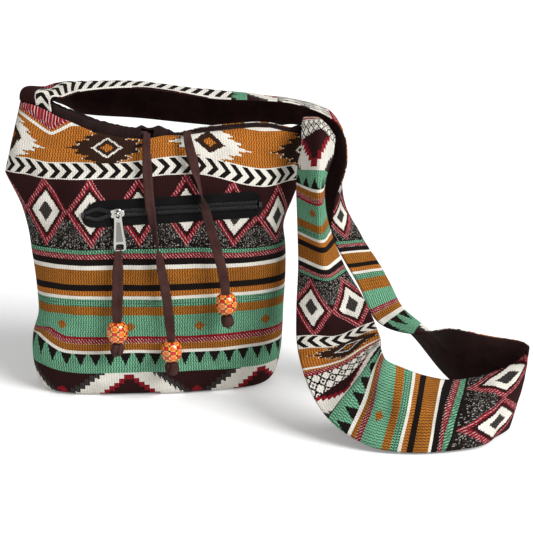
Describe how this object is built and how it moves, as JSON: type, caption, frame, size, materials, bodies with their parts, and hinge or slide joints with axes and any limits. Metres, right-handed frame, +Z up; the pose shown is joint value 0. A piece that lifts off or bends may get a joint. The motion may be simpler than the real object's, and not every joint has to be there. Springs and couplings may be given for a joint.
{
  "type": "drawstring sling bag",
  "caption": "Soft woven sling bag with a drawstring mouth, a front zip pocket, beaded cord ends and a wide lined shoulder strap laid out beside it.",
  "frame": {"origin": "middle of the flat base, on the floor the bag stands on", "axes": "+Z up, +X towards the side where the strap is laid out, +Y towards the wearer's side, away from the zip"},
  "size_m": [0.5364, 0.2818, 0.3329],
  "materials": {
    "jacquard_front": "matt jacquard weave in orange, green, dark red, black and white bands",
    "jacquard_back": "matt jacquard weave, same bands as the front",
    "jacquard_strap": "matt jacquard weave with the bands across the strap",
    "jacquard_strap_end": "matt jacquard weave with the bands along the strap",
    "cotton_lining": "matt chocolate brown cotton",
    "pocket_cotton": "matt thin brown cotton",
    "cotton_cord": "matt brown ribbon cord",
    "zip_tape": "matt black woven tape",
    "zip_chain": "satin black nylon coil",
    "nickel": "polished nickel plate",
    "painted_wood": "glossy red and orange paint with yellow lines and black dots"
  },
  "bodies": {
    "bag": {"front_panel": "jacquard_front", "back_panel": "jacquard_back", "body_lining": "cotton_lining", "pocket_pouch": "pocket_cotton", "zip_tape_upper": "zip_tape", "zip_tape_lower": "zip_tape", "zip_chain_upper": "zip_chain", "zip_chain_lower": "zip_chain", "zip_stop_left": "zip_chain", "zip_stop_right": "zip_chain", "mouth_casing": "cotton_lining", "drawstring": "cotton_cord", "left_end_knot": "cotton_cord", "right_end_knot": "cotton_cord", "strap_short_piece": "jacquard_strap_end", "strap_long_piece": "jacquard_strap", "strap_lining": "cotton_lining"},
    "slider": {"zip_slider": "nickel"},
    "pull": {"pull_tab": "nickel", "pull_ribbon": "cotton_cord", "pull_knot": "cotton_cord"},
    "bead_on_pull": {"pull_bead": "painted_wood"},
    "bead_on_left_end": {"left_end_bead": "painted_wood"},
    "bead_on_right_end": {"right_end_bead": "painted_wood"}
  },
  "joints": [
    {"name": "zip_slide", "type": "slide", "parent": "bag", "child": "slider", "axis": [0.9942, 0.0994, 0.0398], "range_m": [-0.026, 0.137], "deforming": ["drawstring", "left_end_knot", "right_end_knot", "pull_ribbon", "pull_knot"]},
    {"name": "pull_swing", "type": "hinge", "parent": "slider", "child": "pull", "pos_m": [-0.03505, -0.05904, 0.20287], "axis": [-0.9942, -0.0994, -0.0398], "range_deg": [0, 150]},
    {"name": "pull_bead_slide", "type": "slide", "parent": "pull", "child": "bead_on_pull", "axis": [0.0173, 0.0577, 0.9982], "range_m": [0, 0.008]},
    {"name": "left_bead_slide", "type": "slide", "parent": "bag", "child": "bead_on_left_end", "axis": [-0.034, 0.0567, 0.9978], "range_m": [0, 0.008]},
    {"name": "right_bead_slide", "type": "slide", "parent": "bag", "child": "bead_on_right_end", "axis": [-0.056, 0.0448, 0.9974], "range_m": [0, 0.008]}
  ]
}
